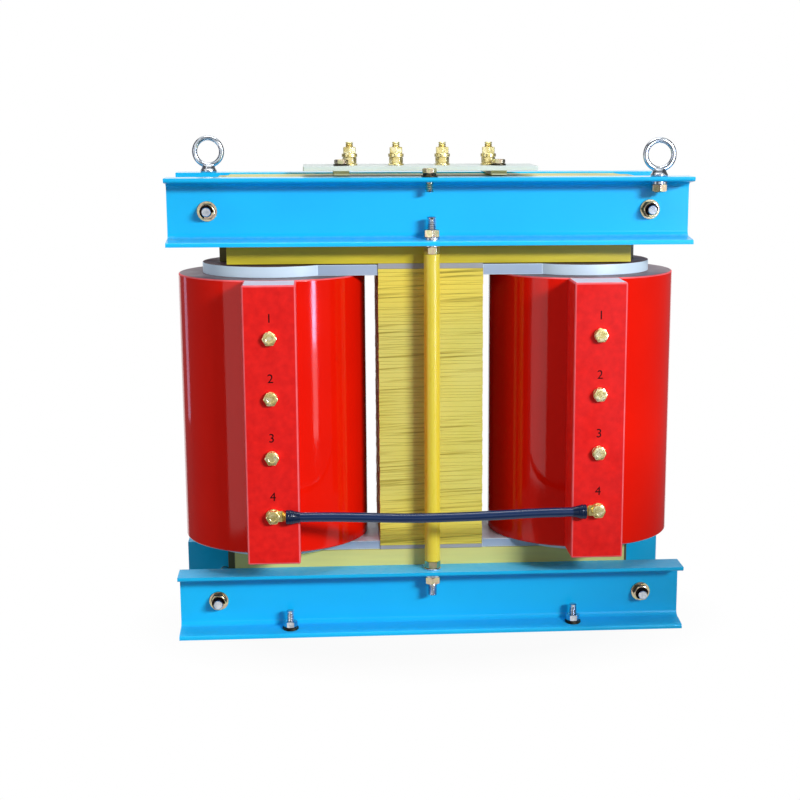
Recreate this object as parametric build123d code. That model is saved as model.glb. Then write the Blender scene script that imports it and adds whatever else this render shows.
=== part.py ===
from build123d import *
import os
from math import hypot, pi, radians, tan

# Dry-type power transformer: two cast coils on a three-limb core, clamped in a frame of rolled channels.
# Millimetres, +Z up, front towards -Y. The origin is on the floor, in the middle of the footprint.

# Rolled channel with tapered flanges
channel_height = 100.0
channel_flange = 48.0
channel_web = 5.3
flange_mean = 8.5
flange_taper = 0.1
root_radius = 8.5
toe_radius = 4.2
bolt_gauge = 26.0

# Laminated core
stack_depth = 164.0
yoke_overlap = 0.5
yoke_step = 13.0
yoke_step_depth = 64.0
floor_gap = 2.0
lower_yoke_height = 124.0
upper_yoke_height = 128.0
upper_yoke_drop = 2.0
centre_limb_width = 160.0
limb_long = 130.0
limb_short = 92.0
lower_pad = 6.0
upper_pad = 8.0

# Windings and the end blocks that carry them
coil_wall = 43.0
coil_height = 415.5
coil_edge = 3.0
coil_gap = 17.5
winding_wall = 12.0
winding_play = 2.0
winding_duct = 7.4
block_seat = 5.5
tongue_inset = 2.0
lower_block = 13.5
upper_block = 16.5
upper_play = 1.5
limb_play = 1.0

# Tap pillar cast on the front of each coil
pillar_width = 78.0
pillar_depth = 61.0
pillar_root = 12.0
pillar_edge = 2.5
tap_count = 4
tap_bottom_margin = 74.5
tap_top_margin = 77.0
tap_depth = 22.0

# Fasteners
hole_play = 0.5
m12 = 12.0
m12_flats = 19.0
m12_nut = 10.0
m12_head = 7.5
m12_washer = 24.0
m12_washer_thick = 2.5
m14 = 14.0
m14_flats = 22.0
m14_nut = 11.5
m14_washer = 26.0
clamp_washer = 30.0
clamp_washer_thick = 3.0
bevel_size = 25.0
bevel_thin = 1.5
clamp_gap = 6.0
clamp_inset = 59.5
clamp_overhang = 10.5
rod_overhang = 19.0
sleeve_diameter = 24.0
foot_bolt_spread = 444.0
foot_bolt_height = 38.0
tap_washer = 20.0
tap_washer_thick = 2.0
earth_bolt_x = -3.0
earth_bolt_length = 27.5
spring_washer = 20.0
spring_washer_thick = 3.0

# Eye bolts on opposite corners of the top
eye_inset = 50.5
eye_centre = 32.2
eye_ring = 21.3
eye_wire = 4.2
eye_collar = 13.0
eye_collar_thick = 3.5
eye_neck = 9.5
eye_neck_height = 10.5
eye_overhang = 1.0

# Terminal board over the top yoke
board_x = -12.0
board_length = 357.0
board_width = 108.0
board_thick = 7.0
board_corner = 3.0
strap_width = 24.0
strap_thick = 7.0
strap_end = 14.0
strap_bolt_pitch = 240.8
board_bolt_inset = 30.0
board_bolt_head = 7.0
stud_count = 4
stud_pitch = 71.5
stud_y = 0.0
stud_overhang = 7.5

# Jumper between the lowest taps
lug_thick = 3.0
lug_ring = 11.0
lug_tang = 16.0
lug_play = 0.8
lug_barrel = 7.4
lug_barrel_start = 18.5
boot_radius = 9.2
boot_play = 0.5
boot_length = 20.5
cable_radius = 7.2
cable_sag = [(-158, 0), (-92, -2.9), (-30, -5.0), (35, -4.2), (98, -2.4), (158, 0)]
arc_share = 0.45

# Windings from the limb outwards
winding_bore = hypot(limb_long, limb_short) / 2 + winding_play
coil_bore = winding_bore + winding_wall + winding_duct
coil_radius = coil_bore + coil_wall
block_radius = coil_bore + block_seat
pillar_reach = coil_radius + pillar_depth
tap_pitch = (coil_height - tap_bottom_margin - tap_top_margin) / (tap_count - 1)

# Lengths along the frame
coil_x = centre_limb_width / 2 + coil_gap + coil_radius
yoke_length = 2 * coil_x + limb_long + 2 * yoke_overlap
clamp_x = yoke_length / 2 + yoke_step + clamp_gap + m14 / 2
channel_length = 2 * (clamp_x + clamp_inset)
foot_x = foot_bolt_spread / 2
eye_x = channel_length / 2 - eye_inset

# Levels, from the floor up
window_height = lower_block + coil_height + upper_block + upper_play
lower_yoke_top = floor_gap + lower_yoke_height
upper_yoke_base = lower_yoke_top + window_height
upper_yoke_top = upper_yoke_base + upper_yoke_height
frame_top = upper_yoke_top + upper_yoke_drop
upper_channel_base = frame_top - channel_height
coil_base = lower_yoke_top + lower_block
coil_top = coil_base + coil_height
board_base = frame_top + strap_thick
board_top = board_base + board_thick

# Depth: the core plane lies behind the origin because only the front carries pillars
bolt_reach = lug_thick + tap_washer_thick + m12_head
web_face = stack_depth / 2
frame_reach = web_face + channel_flange
core_y = (pillar_reach + bolt_reach - max(coil_radius, frame_reach)) / 2
gauge_y = web_face + bolt_gauge

SIDES = {"left": -1, "right": 1}
FACES = {"front": -1, "back": 1}
parts = {}


def at(x, y, z):
    """A place measured from the core's middle plane."""
    return Pos(x, core_y + y, z)


def disc(radius, height):
    """A cylinder that stands on its own origin."""
    return extrude(Circle(radius), height)


def hexagon(flats, height, turn=0):
    """A hexagonal nut or bolt head that stands on its own origin, with a flat to the front unless turned."""
    return extrude(Rot(0, 0, turn) * RegularPolygon(flats / 2, 6, major_radius=False), height)


def flange_thickness(distance):
    """Thickness of a tapered flange at a distance from the back of the web."""
    middle = channel_web + (channel_flange - channel_web) / 2
    return flange_mean + (middle - distance) * flange_taper


bevel_level = flange_thickness(bolt_gauge - bevel_size / 2) + bevel_thin


def bevel_washer(face):
    """Round taper washer whose lower side follows the flange, upright on a flange that lies at z = 0."""
    near = bolt_gauge - bevel_size / 2
    far = bolt_gauge + bevel_size / 2
    outline = Polyline(
        (near, flange_thickness(near)),
        (far, flange_thickness(far)),
        (far, bevel_level),
        (near, bevel_level),
        close=True,
    )
    plane = Plane(origin=(0, face * (web_face - gauge_y), 0), x_dir=(0, face, 0), z_dir=(face, 0, 0))
    wedge = extrude(plane * make_face(outline), bevel_size / 2, both=True)
    return wedge & disc(bevel_size / 2, channel_height)


# Clamping frame


def channel_section():
    """Half-open section: distance from the web's back along x, height along y."""
    toe = flange_thickness(channel_flange)
    root = flange_thickness(channel_web)
    outline = Polyline(
        (0, 0),
        (channel_flange, 0),
        (channel_flange, toe),
        (channel_web, root),
        (channel_web, channel_height - root),
        (channel_flange, channel_height - toe),
        (channel_flange, channel_height),
        (0, channel_height),
        close=True,
    )
    section = make_face(outline)
    half = channel_height / 2
    roots = [v for v in section.vertices() if abs(v.X - channel_web) < 0.01]
    section = fillet(roots, root_radius)
    toes = [v for v in section.vertices() if v.X > channel_flange - 0.01 and abs(v.Y - half) < half - 0.01]
    return fillet(toes, toe_radius)


def channel(face, base, flange_holes):
    """One channel on the front or back of the core, with its clamp holes and flange holes."""
    plane = Plane(origin=(0, core_y + face * web_face, base), x_dir=(0, face, 0), z_dir=(face, 0, 0))
    bar = extrude(plane * channel_section(), channel_length / 2, both=True)
    for side in SIDES.values():
        drill = Rot(90, 0, 0) * Cylinder(m14 / 2 + hole_play, 4 * channel_web)
        bar -= at(side * clamp_x, face * web_face, base + channel_height / 2) * drill
    for x, level, diameter in flange_holes:
        drill = Cylinder(diameter / 2 + hole_play, channel_height / 2)
        bar -= at(x, face * gauge_y, base + level) * drill
    return bar


eye_places = {"left": (-eye_x, FACES["back"]), "right": (eye_x, FACES["front"])}

for name, face in FACES.items():
    top_holes = [(0, 0, m14)]
    top_holes += [(x, channel_height, m14) for x, eye_face in eye_places.values() if eye_face == face]
    if name == "front":
        top_holes.append((earth_bolt_x, channel_height, m12))
    parts[f"top_{name}_channel"] = channel(face, upper_channel_base, top_holes)
    foot_holes = [(side * foot_x, 0, m12) for side in SIDES.values()]
    parts[f"bottom_{name}_channel"] = channel(face, 0, [(0, channel_height, m14)] + foot_holes)


# Core


def yoke(height):
    """Stack with a longer middle packet, so that each end is stepped."""
    plan = Rectangle(yoke_length, stack_depth) + Rectangle(yoke_length + 2 * yoke_step, yoke_step_depth)
    return extrude(plan, height)


def limb_plan(play):
    """Cross-shaped section of a wound limb, grown by a clearance."""
    return Rectangle(limb_long + 2 * play, limb_short + 2 * play) + Rectangle(
        limb_short + 2 * play, limb_long + 2 * play
    )


parts["bottom_yoke"] = at(0, 0, floor_gap) * yoke(lower_yoke_height)
parts["top_yoke"] = at(0, 0, upper_yoke_base) * yoke(upper_yoke_height)

centre_plan = Rectangle(centre_limb_width, stack_depth)
centre_height = window_height - lower_pad - upper_pad
parts["centre_limb"] = at(0, 0, lower_yoke_top + lower_pad) * extrude(centre_plan, centre_height)
parts["gap_pads"] = Compound(
    [
        at(0, 0, lower_yoke_top) * extrude(centre_plan, lower_pad),
        at(0, 0, upper_yoke_base - upper_pad) * extrude(centre_plan, upper_pad),
    ]
)
for name, side in SIDES.items():
    parts[f"{name}_limb"] = at(side * coil_x, 0, lower_yoke_top) * extrude(limb_plan(0), window_height)


# Windings


def coil():
    """Cast coil with the pillar for its taps, standing on its own origin."""
    body = disc(coil_radius, coil_height)
    body = fillet(body.edges().filter_by(GeomType.CIRCLE), coil_edge)
    root_y = (coil_radius**2 - (pillar_width / 2) ** 2) ** 0.5 - pillar_root
    depth = pillar_reach - root_y
    pillar = Pos(0, -root_y - depth / 2, 0) * extrude(Rectangle(pillar_width, depth), coil_height)
    front = pillar.faces().sort_by(Axis.Y)[0]
    sides = [e for e in pillar.edges().filter_by(Axis.Y)]
    pillar = fillet(front.edges() + sides, pillar_edge)
    body += pillar
    body -= disc(coil_bore, coil_height)
    for step in range(tap_count):
        drill = Rot(90, 0, 0) * Cylinder(m12 / 2 + hole_play, 2 * tap_depth)
        body -= Pos(0, -pillar_reach, tap_bottom_margin + step * tap_pitch) * drill
    return body


def inner_winding():
    """Low-voltage winding, a tube close round the limb."""
    return disc(winding_bore + winding_wall, coil_height) - disc(winding_bore, coil_height)


def end_block(side, height):
    """Insulating block: a disc under the coil with a tongue to the centre limb."""
    tongue_length = coil_x - centre_limb_width / 2
    tongue_width = stack_depth - 2 * tongue_inset
    tongue = Pos(-side * tongue_length / 2, 0) * Rectangle(tongue_length, tongue_width)
    return extrude(Circle(block_radius) + tongue - limb_plan(limb_play), height)


for name, side in SIDES.items():
    parts[f"{name}_hv_coil"] = at(side * coil_x, 0, coil_base) * coil()
    parts[f"{name}_lv_winding"] = at(side * coil_x, 0, coil_base) * inner_winding()
    parts[f"{name}_lower_block"] = at(side * coil_x, 0, lower_yoke_top) * end_block(side, lower_block)
    parts[f"{name}_upper_block"] = at(side * coil_x, 0, coil_top) * end_block(side, upper_block)


# Fasteners of the frame


def clamp_bolt():
    """Stud through both webs of a level, with a washer and a nut at each end."""
    grip = web_face + channel_web
    reach = grip + clamp_washer_thick + m14_nut + clamp_overhang
    bolt = Cylinder(m14 / 2, 2 * reach)
    end = Pos(0, 0, grip) * disc(clamp_washer / 2, clamp_washer_thick)
    end += Pos(0, 0, grip + clamp_washer_thick) * hexagon(m14_flats, m14_nut)
    bolt += end
    bolt += mirror(end, Plane.XY)
    return Rot(90, 0, 0) * bolt


def rod_end(face):
    """Nuts on both sides of a flange whose flat side lies at z = 0 and faces down."""
    end = Pos(0, 0, -m12_washer_thick) * disc(m14_washer / 2, m12_washer_thick)
    end += Pos(0, 0, -m12_washer_thick - m14_nut) * hexagon(m14_flats, m14_nut)
    end += bevel_washer(face) - Cylinder(m14 / 2, channel_height)
    end += Pos(0, 0, bevel_level) * hexagon(m14_flats, m14_nut, 30)
    end += Pos(0, 0, -m12_washer_thick - m14_nut) * disc(
        m14 / 2, m12_washer_thick + m14_nut + bevel_level + m14_nut + rod_overhang
    )
    return end


sleeve_base = channel_height + m12_washer_thick + m14_nut
sleeve_top = upper_channel_base - m12_washer_thick - m14_nut

for level, base in {"upper": upper_channel_base, "lower": 0}.items():
    for name, side in SIDES.items():
        place = at(side * clamp_x, 0, base + channel_height / 2)
        parts[f"{level}_{name}_clamp_bolt"] = place * clamp_bolt()

for name, face in FACES.items():
    lower_end = mirror(rod_end(face), Plane.XY)
    rod = at(0, face * gauge_y, upper_channel_base) * rod_end(face)
    rod += at(0, face * gauge_y, channel_height) * lower_end
    rod += at(0, face * gauge_y, sleeve_base) * disc(m14 / 2, sleeve_top - sleeve_base)
    parts[f"{name}_tie_rod"] = rod
    tube = disc(sleeve_diameter / 2, sleeve_top - sleeve_base)
    tube -= disc(m14 / 2 + hole_play, sleeve_top - sleeve_base)
    parts[f"{name}_rod_sleeve"] = at(0, face * gauge_y, sleeve_base) * tube


def foot_bolt(face):
    """Stud in the lower flange, flush underneath, with a bevel washer and a nut."""
    bolt = disc(m12 / 2, foot_bolt_height)
    bolt += bevel_washer(face)
    bolt += Pos(0, 0, bevel_level) * hexagon(m12_flats, m12_nut)
    return bolt


for name, face in FACES.items():
    pair = [at(side * foot_x, face * gauge_y, 0) * foot_bolt(face) for side in SIDES.values()]
    parts[f"{name}_foot_bolts"] = Compound(pair)


def eye_bolt(face):
    """Forged ring on a tapered collar, with a bevel washer and a nut under the flange."""
    outline = Polyline(
        (0, 0),
        (eye_collar, 0),
        (eye_collar, eye_collar_thick),
        (eye_neck, eye_neck_height),
        (0, eye_neck_height),
        close=True,
    )
    bolt = revolve(Plane.XZ * make_face(outline), Axis.Z)
    bolt += Pos(0, 0, eye_centre) * Rot(90, 0, 0) * Torus(eye_ring, eye_wire)
    under = bevel_washer(face) + Pos(0, 0, bevel_level) * hexagon(m14_flats, m14_nut, 30)
    bolt += mirror(under, Plane.XY)
    shank = bevel_level + m14_nut + eye_overhang
    return bolt + Pos(0, 0, -shank) * disc(m14 / 2, shank)


for name, (x, face) in eye_places.items():
    parts[f"{name}_eye_bolt"] = at(x, face * gauge_y, frame_top) * eye_bolt(face)


def washered_bolt(washers, head, length):
    """Bolt that points down: washers on the seat at z = 0, the head on them, the shank below."""
    bolt = None
    level = 0
    for diameter, thick in washers:
        washer = Pos(0, 0, level) * disc(diameter / 2, thick)
        bolt = washer if bolt is None else bolt + washer
        level += thick
    bolt += Pos(0, 0, level) * hexagon(m12_flats, head)
    return bolt + Pos(0, 0, -length) * disc(m12 / 2, length)


earth_washers = [(m12_washer, m12_washer_thick), (spring_washer, spring_washer_thick)]
earth_shank = earth_bolt_length - m12_washer_thick - spring_washer_thick
earth_bolt = washered_bolt(earth_washers, m12_head, earth_shank)
parts["earth_bolt"] = at(earth_bolt_x, FACES["front"] * gauge_y, frame_top) * earth_bolt


# Terminal board

board_bolt_y = board_bolt_inset - board_width / 2
bolt_spots = [(board_x + side * strap_bolt_pitch / 2, board_bolt_y) for side in SIDES.values()]
stud_xs = [board_x + (i - (stud_count - 1) / 2) * stud_pitch for i in range(stud_count)]

plan = RectangleRounded(board_length, board_width, board_corner)
board = at(board_x, 0, board_base) * extrude(plan, board_thick)
for x, y in bolt_spots + [(x, stud_y) for x in stud_xs]:
    board -= at(x, y, board_base) * disc(m12 / 2 + hole_play, board_thick)
parts["terminal_board"] = board

straps = []
for x, y in bolt_spots:
    length = frame_reach - y + strap_end
    strap = at(x, frame_reach - length / 2, frame_top) * extrude(Rectangle(strap_width, length), strap_thick)
    straps.append(strap - at(x, y, frame_top) * disc(m12 / 2 + hole_play, strap_thick))
parts["board_straps"] = Compound(straps)

board_bolt = washered_bolt([(m12_washer, m12_washer_thick)], board_bolt_head, board_thick + strap_thick)
parts["board_bolts"] = Compound([at(x, y, board_top) * board_bolt for x, y in bolt_spots])


def terminal_stud():
    """Stud through the board, with a nut below and above the washers of its connection."""
    nut_pair = [m12_washer_thick, m12_nut, 2 * m12_washer_thick, m12_nut]
    stud = Pos(0, 0, -board_thick) * disc(m12 / 2, board_thick + sum(nut_pair) + stud_overhang)
    stud += disc(m12_washer / 2, m12_washer_thick)
    stud += Pos(0, 0, sum(nut_pair[:1])) * hexagon(m12_flats, m12_nut)
    stud += Pos(0, 0, sum(nut_pair[:2])) * disc(m12_washer / 2, 2 * m12_washer_thick)
    return stud + Pos(0, 0, sum(nut_pair[:3])) * hexagon(m12_flats, m12_nut)


for number, x in enumerate(stud_xs, 1):
    parts[f"lv_stud_{number}"] = at(x, stud_y, board_top) * terminal_stud()


# Taps and the jumper between the lowest ones

tap_bolt = washered_bolt([(tap_washer, tap_washer_thick)], m12_head, tap_depth / 2)
towards_front = Rot(90, 0, 0)
for name, side in SIDES.items():
    bolts = []
    for step in range(tap_count):
        seat = lug_thick if step == 0 else 0
        place = at(side * coil_x, -pillar_reach - seat, coil_base + tap_bottom_margin + step * tap_pitch)
        bolts.append(place * towards_front * tap_bolt)
    parts[f"{name}_tap_bolts"] = Compound(bolts)

tap_z = coil_base + tap_bottom_margin
cable_y = -(pillar_reach + boot_radius + boot_play)
lug_tang_end = m12_washer / 2 + lug_play
boot_start = coil_x - lug_barrel_start
cable_end = boot_start - boot_length


def cable_lug(side):
    """Ring and tang of sheet, swelling into the crimped barrel."""
    flat = Pos(-side * lug_tang_end / 2, 0) * Rectangle(lug_tang_end, lug_tang) + Circle(lug_ring)
    lug = Rot(90, 0, 0) * extrude(flat - Circle(m12 / 2 + hole_play), lug_thick)
    along = Plane(origin=(-side * lug_tang_end, 0, 0), x_dir=(0, 1, 0), z_dir=(-side, 0, 0))
    start = along * Pos(-lug_thick / 2, 0) * Rectangle(lug_thick, lug_tang)
    offset = cable_y + pillar_reach
    finish = along.offset(lug_barrel_start - lug_tang_end) * Pos(offset, 0) * Circle(lug_barrel)
    return lug + loft([start, finish])


for name, side in SIDES.items():
    parts[f"{name}_jumper_lug"] = at(side * coil_x, -pillar_reach, tap_z) * cable_lug(side)
    boot = Rot(0, 90, 0) * Cylinder(boot_radius, boot_length)
    parts[f"{name}_jumper_boot"] = at(side * (boot_start - boot_length / 2), cable_y, tap_z) * boot

route = [(-cable_end, 0)] + cable_sag + [(cable_end, 0)]
points = [Vector(x, core_y + cable_y, tap_z + z) for x, z in route]
radii = []
for before, here, after in zip(points, points[1:], points[2:]):
    turn = (here - before).get_angle(after - here)
    run = min((here - before).length, (after - here).length)
    radii.append(arc_share * run / tan(radians(turn) / 2))
print("jumper bend radii, mm:", [round(r) for r in radii])
path = FilletPolyline(*points, radius=radii)
start_plane = Plane(origin=points[0], z_dir=points[1] - points[0])
cable = sweep(start_plane * Circle(cable_radius), path)
section_area = pi * cable_radius**2
print("jumper length, mm:", round(path.length, 1))
print("jumper volume over section times length:", round(cable.volume / (section_area * path.length), 4))
parts["jumper_cable"] = cable

os.makedirs("parts", exist_ok=True)
for name, shape in parts.items():
    export_step(shape, f"parts/{name}.step")
print(len(parts), "nodes")
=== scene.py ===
# %% [markdown]
# # A dry-type power transformer
# Two red cast-resin coils stand on a laminated core, and four blue rolled channels clamp the core from
# the front and the back. The CAD model gives every piece its place and size. This lesson loads it as a
# fixed frame, models the pieces again with the detail that a close look needs, and gives each one the
# finish of its real material. Everything is in metres, with the front of the transformer towards -Y.

# %% Load the frame
from math import cos, pi, radians, tan
from random import Random

import bmesh
import bpy
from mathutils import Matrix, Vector


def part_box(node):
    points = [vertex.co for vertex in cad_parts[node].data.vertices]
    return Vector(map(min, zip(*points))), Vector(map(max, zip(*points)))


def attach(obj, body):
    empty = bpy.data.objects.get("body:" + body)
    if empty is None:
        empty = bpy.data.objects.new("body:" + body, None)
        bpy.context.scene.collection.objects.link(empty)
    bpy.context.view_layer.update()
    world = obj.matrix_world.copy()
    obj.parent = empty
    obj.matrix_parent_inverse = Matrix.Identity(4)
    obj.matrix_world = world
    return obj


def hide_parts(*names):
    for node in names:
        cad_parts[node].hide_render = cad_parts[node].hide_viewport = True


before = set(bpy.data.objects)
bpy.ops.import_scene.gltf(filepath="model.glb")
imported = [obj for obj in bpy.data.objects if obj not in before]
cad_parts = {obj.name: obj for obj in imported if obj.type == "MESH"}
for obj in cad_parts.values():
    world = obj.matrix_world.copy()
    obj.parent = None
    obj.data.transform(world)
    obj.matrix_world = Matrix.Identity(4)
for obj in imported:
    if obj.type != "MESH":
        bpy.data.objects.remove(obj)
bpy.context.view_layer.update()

MM = 0.001
BODY = "root"
SIDES = {"left": -1, "right": 1}
FACES = {"front": -1, "back": 1}

# %% [markdown]
# ## The camera
# The photograph was taken from a little left of the middle, above the coils and looking down about
# twelve degrees. A long lens keeps the channels almost parallel. The view could be guessed and nudged,
# but matching the corners of the channels gives it directly: place, lens, and a small shift, because the
# picture was trimmed after it was taken.

# %% Camera
camera_place = (-0.16384, -2.50131, 0.80473)
camera_pitch = -11.95
camera_yaw = -4.50
camera_lens = 72.95
camera_shift = (-0.0625, 0.0625)

bpy.ops.object.select_all(action="DESELECT")
camera_turn = (radians(90 + camera_pitch), 0, radians(camera_yaw))
bpy.ops.object.camera_add(location=camera_place, rotation=camera_turn)
camera = bpy.context.object
camera.data.lens = camera_lens
camera.data.shift_x, camera.data.shift_y = camera_shift
bpy.context.scene.camera = camera
bpy.context.scene.view_settings.view_transform = "Standard"
print("camera at", [round(v, 3) for v in camera.location], "with a lens of", camera_lens, "mm")

# %% [markdown]
# ## The jumper cable
# A short stiff cable joins the lowest taps of the two coils. It is held at both ends, so it sags by only
# a few millimetres. A mesh tube would need many points. A NURBS curve keeps the few points that are
# given, runs smoothly between them, and gets its thickness from the curve's own bevel. The
# order and the end condition are set after the points are there, or the curve falls back to straight runs.

# %% Jumper cable
def box_middle(name, axis):
    """Half way through the box of a CAD node, along one axis."""
    low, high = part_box(name)
    return (getattr(low, axis) + getattr(high, axis)) / 2


cable_sag = [(-158, 0), (-92, -2.9), (-30, -5.0), (35, -4.2), (98, -2.4), (158, 0)]
cable_low, cable_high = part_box("jumper_cable")
cable_y = box_middle("jumper_cable", "y")
cable_radius = (cable_high.y - cable_low.y) / 2
cable_z = cable_high.z - cable_radius
cable_points = [(cable_low.x, cable_z)]
cable_points += [(x * MM, cable_z + z * MM) for x, z in cable_sag]
cable_points += [(cable_high.x, cable_z)]

cable_curve = bpy.data.curves.new("jumper", "CURVE")
cable_curve.dimensions = "3D"
cable_line = cable_curve.splines.new("NURBS")
cable_line.points.add(len(cable_points) - 1)
for point, (x, z) in zip(cable_line.points, cable_points):
    point.co = (x, cable_y, z, 1)
cable_line.order_u = 3
cable_line.use_endpoint_u = True
cable_line.resolution_u = 12
cable_curve.bevel_depth = cable_radius
cable_curve.bevel_resolution = 8
cable_curve.use_fill_caps = True
cable = bpy.data.objects.new("jumper", cable_curve)
bpy.context.scene.collection.objects.link(cable)
print("jumper of", len(cable_points), "points,", round(2000 * cable_radius, 1), "mm thick")

# %% [markdown]
# ## The studio
# The picture was taken on white paper in a dark room. The background is white through the Light Path node
# and not through more light on the object. The paper takes most of its white the same way, and all of it
# outside an oval round the foot, so that it keeps a shadow and has no horizon. The sheet is small, because
# a wide one would show as a pale film in the glossy coils. The room keeps the red deep, so a dark screen
# stands round the front, seen only by reflections.

# %% One function for shader nodes
def node(tree, kind, inputs=None, **settings):
    """Add a shader node, set its own properties, and fill or link its inputs by name or number."""
    made = tree.nodes.new("ShaderNode" + kind)
    for name, value in settings.items():
        setattr(made, name, value)
    for socket, value in (inputs or {}).items():
        if isinstance(value, bpy.types.NodeSocket):
            tree.links.new(value, made.inputs[socket])
        else:
            made.inputs[socket].default_value = value
    return made


def paint(code):
    """The linear colour of an sRGB hex code."""
    channels = [int(code[i : i + 2], 16) / 255 for i in (0, 2, 4)]
    linear = [c / 12.92 if c <= 0.04045 else ((c + 0.055) / 1.055) ** 2.4 for c in channels]
    return (*linear, 1.0)


def seen_directly(tree):
    """One for what the camera sees, also by way of a mirror or through glass; zero for light on the way."""
    ray = node(tree, "LightPath")
    seen = ray.outputs["Is Camera Ray"]
    for name in ("Is Glossy Ray", "Is Transmission Ray"):
        seen = node(tree, "Math", {0: seen, 1: ray.outputs[name]}, operation="MAXIMUM").outputs[0]
    return seen


# %% White background
ambient_strength = 0.25
white_paper = "FFFFFF"

world = bpy.data.worlds.new("paper_background")
bpy.context.scene.world = world
world.use_nodes = True
sky = world.node_tree
sky.nodes.clear()
seen = seen_directly(sky)
strength = node(sky, "MapRange", {0: seen, 3: ambient_strength, 4: 1.0})
glow = node(sky, "Background", {0: paint(white_paper), 1: strength.outputs[0]})
node(sky, "OutputWorld", {0: glow.outputs[0]})
print("background white, ambient light", ambient_strength)

# %% Paper floor
paper_width = 1.0
paper_front, paper_back = -0.33, 0.50
paper_drop = 0.5 * MM
white_share = (0.95, 1.0)
fade_out = (0.20, 0.32)
fade_shape = (0.65, 1.0, 1.0)

paper = bpy.data.materials.new("white_paper")
paper.use_nodes = True
sheet = paper.node_tree
sheet.nodes.clear()
place = node(sheet, "NewGeometry").outputs["Position"]
oval = node(sheet, "VectorMath", {0: place, 1: fade_shape}, operation="MULTIPLY")
away = node(sheet, "VectorMath", {0: oval.outputs[0]}, operation="LENGTH")
fade = {0: away.outputs["Value"], 1: fade_out[0], 2: fade_out[1], 3: white_share[0], 4: white_share[1]}
white = node(sheet, "MapRange", fade)
share = node(sheet, "Math", {0: white.outputs[0], 1: seen_directly(sheet)}, operation="MULTIPLY")
matt = node(sheet, "BsdfDiffuse", {0: paint("8A8A8A")})
lit = node(sheet, "Emission", {0: paint(white_paper), 1: 1.0})
mixed = node(sheet, "MixShader", {0: share.outputs[0], 1: matt.outputs[0], 2: lit.outputs[0]})
node(sheet, "OutputMaterial", {0: mixed.outputs[0]})

bpy.ops.object.select_all(action="DESELECT")
bpy.ops.mesh.primitive_plane_add(size=1, location=(0, (paper_front + paper_back) / 2, -paper_drop))
floor = bpy.context.object
floor.scale = (paper_width, paper_back - paper_front, 1)
floor.name = "paper_floor"
floor.data.materials.append(paper)
print("paper", paper_width, "m wide")

# %% Dark screen round the front
screen_radius = 6.0
screen_height = 14.0
screen_back = 5.2

screen_cloth = bpy.data.materials.new("dark_room")
screen_cloth.use_nodes = True
cloth = screen_cloth.node_tree.nodes["Principled BSDF"]
cloth.inputs["Base Color"].default_value = paint("8C8C90")
cloth.inputs["Roughness"].default_value = 1.0
bpy.ops.object.select_all(action="DESELECT")
bpy.ops.mesh.primitive_cylinder_add(
    vertices=48, radius=screen_radius, depth=screen_height, location=(0, 0, 0), end_fill_type="NOTHING"
)
screen = bpy.context.object
screen.name = "dark_screen"
screen.data.materials.append(screen_cloth)
bpy.ops.object.mode_set(mode="EDIT")
bpy.ops.mesh.select_all(action="SELECT")
bpy.ops.mesh.bisect(plane_co=(0, screen_back, 0), plane_no=(0, 1, 0), clear_outer=True)
bpy.ops.object.mode_set(mode="OBJECT")
screen.visible_camera = screen.visible_diffuse = screen.visible_shadow = False
print("screen of", len(screen.data.polygons), "faces")

# %% [markdown]
# ### The lights
# The main light stands high on the right: it throws the shadow of the sleeve to the left on the limb, and
# that of each flange down on its web. A top light helps it, and two fills, which no reflection shows, lift
# the shaded sides. All other lamps are seen only by reflections: tall soft boxes close to the object are
# the pale upright strips on the coils, and cards further off put some grey into the metal. Each could be
# set by hand. A table is easier to compare, because they differ only in place, size, power, use and tint.
# A flag, a board that only casts a shadow, keeps the main light off the right end of the lower channel.

# %% Main light, fills and soft boxes
light_aim = Vector((0, -0.1, 0.4))
lights = {
    "main_light": ((3.16, -4.69, 2.42), (1.87, 0.62), 318.0, "both", "FFFFFF"),
    "top_light": ((0.0, -0.30, 3.00), (1.60, 0.50), 28.0, "both", "FFFFFF"),
    "left_fill": ((-2.70, -0.55, 0.90), (1.20, 1.20), 14.5, "diffuse", "FFFFFF"),
    "back_fill": ((-1.20, 3.60, 1.10), (1.60, 1.20), 40.0, "diffuse", "FFFFFF"),
    "right_box": ((0.76, -0.80, 0.55), (0.14, 0.96), 1.9, "glossy", "FFFFFF"),
    "right_glow": ((0.77, -0.81, 0.62), (0.11, 0.66), 8.8, "glossy", "B4CCFF"),
    "left_box": ((-0.90, -0.70, 0.80), (0.50, 1.70), 3.9, "glossy", "FFFFFF"),
    "back_strip": ((-1.27, 0.81, 0.60), (0.17, 1.00), 0.85, "glossy", "D0D4FF"),
    "right_card": ((2.20, -0.72, 0.62), (0.90, 0.42), 1.9, "glossy", "FFFFFF"),
    "front_card": ((0.30, -3.20, 0.65), (2.40, 1.10), 8.2, "glossy", "FFFFFF"),
    "low_card": ((0.30, -3.20, -0.45), (2.40, 1.10), 3.0, "glossy", "FFFFFF"),
}

for name, (spot, (width, height), power, use, tint) in lights.items():
    aim = Vector((0, 0, spot[2])) if use == "glossy" else light_aim
    turn = (aim - Vector(spot)).to_track_quat("-Z", "Y").to_euler()
    bpy.ops.object.select_all(action="DESELECT")
    bpy.ops.object.light_add(type="AREA", location=spot, rotation=turn)
    lamp = bpy.context.object
    lamp.name = name
    lamp.data.shape = "RECTANGLE"
    lamp.data.size, lamp.data.size_y = width, height
    lamp.data.energy = power
    lamp.data.color = paint(tint)[:3]
    lamp.visible_camera = False
    lamp.visible_diffuse = use != "glossy"
    lamp.visible_glossy = use != "diffuse"
    print(name, "gives", power, "W")

# %% Flag before the main light
flag_place = (1.43, -1.138, 0.60)
flag_size = (0.80, 0.40)
flag_turn = radians(32)

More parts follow.
